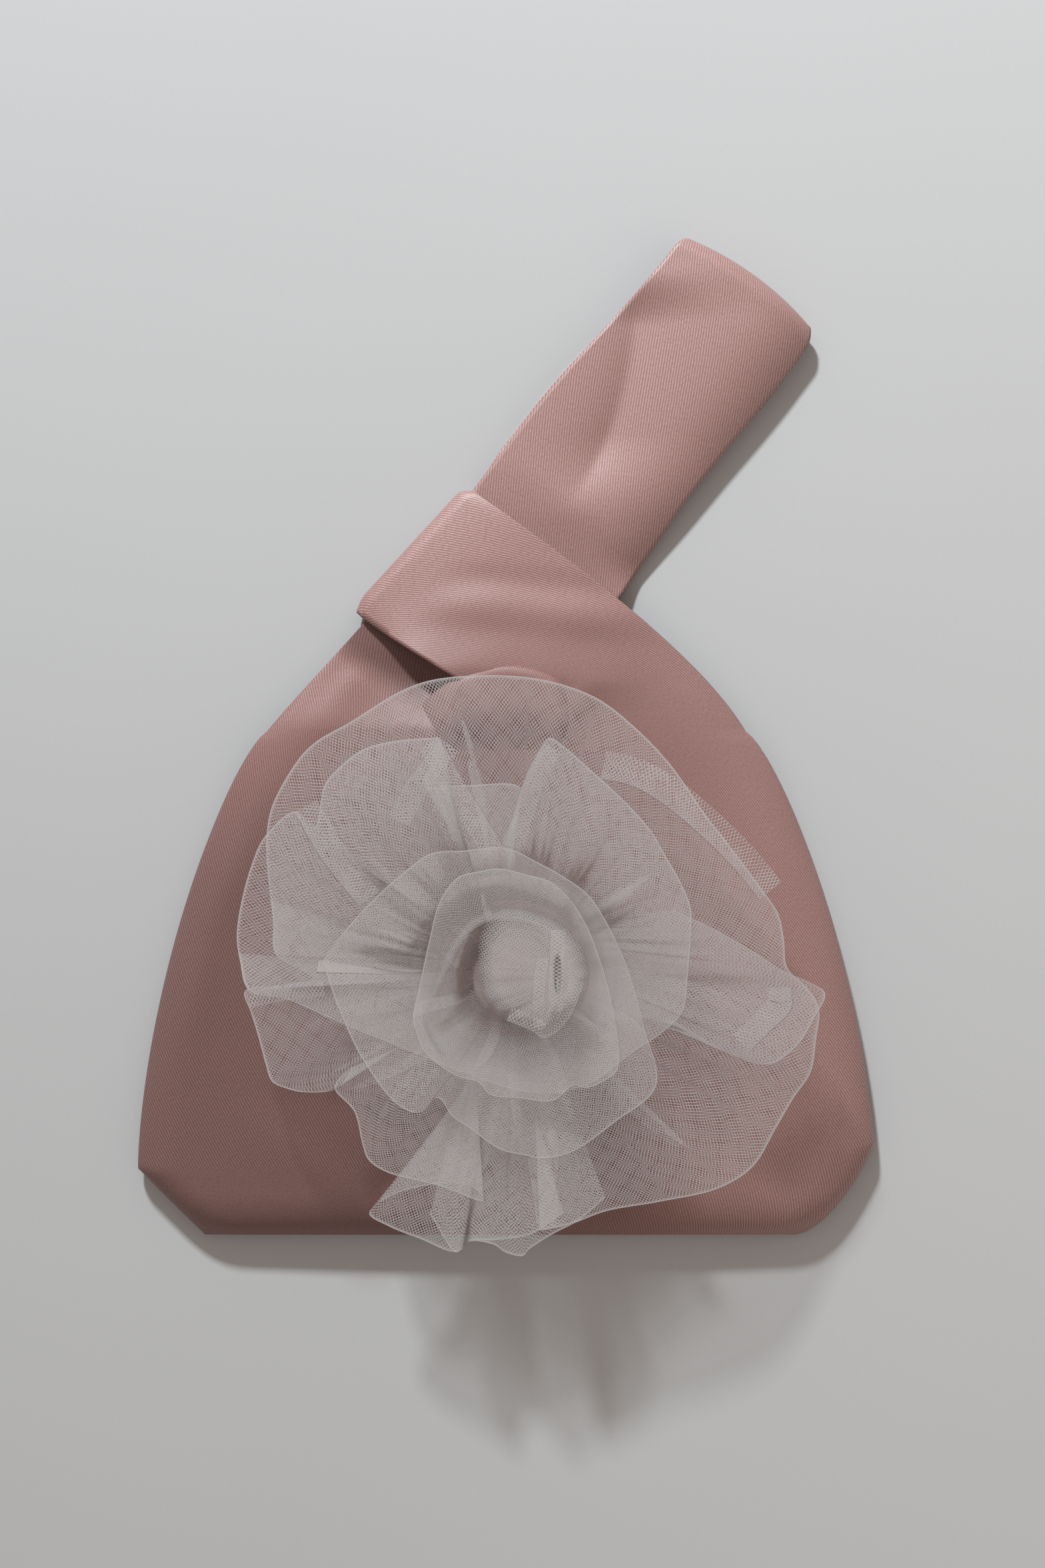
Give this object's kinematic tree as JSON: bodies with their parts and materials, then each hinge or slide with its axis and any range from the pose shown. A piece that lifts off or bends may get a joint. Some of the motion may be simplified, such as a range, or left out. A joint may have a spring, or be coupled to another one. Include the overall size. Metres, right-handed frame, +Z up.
{
  "type": "knot bag",
  "caption": "Lined satin knot bag lying flat, its long wrist loop passed through the short loop, with a gathered tulle flower sewn to the front.",
  "frame": {"origin": "middle of the bag's plan, on the table that it lies on", "axes": "+Y from the bag's base towards its loops, +X to the right seen from the front, +Z up, away from the table, through the front panel and the flower"},
  "size_m": [0.264, 0.3572, 0.0687],
  "materials": {
    "satin": "dusty pink twill satin, soft sheen",
    "lining": "the same satin, thinner, used as lining",
    "tulle": "off-white stiff net, doubled",
    "felt": "matt felt"
  },
  "bodies": {
    "bag": {"front_panel": "satin", "back_panel": "satin", "front_lining": "lining", "back_lining": "lining", "flower_backing": "felt", "tulle_outer_ruffle": "tulle", "tulle_right_pleat": "tulle", "tulle_bottom_fan": "tulle", "tulle_second_ruffle": "tulle", "tulle_third_ruffle": "tulle", "tulle_inner_ruffle": "tulle", "tulle_bud": "tulle"},
    "long_loop": {"long_loop_front": "satin", "long_loop_back": "satin", "long_loop_front_lining": "lining", "long_loop_back_lining": "lining"}
  },
  "joints": [
    {"name": "long_loop_lift", "type": "hinge", "parent": "bag", "child": "long_loop", "pos_m": [0.01484, 0.06928, 0.0071], "axis": [0.809, -0.5878, 0], "range_deg": [0, 110]}
  ]
}
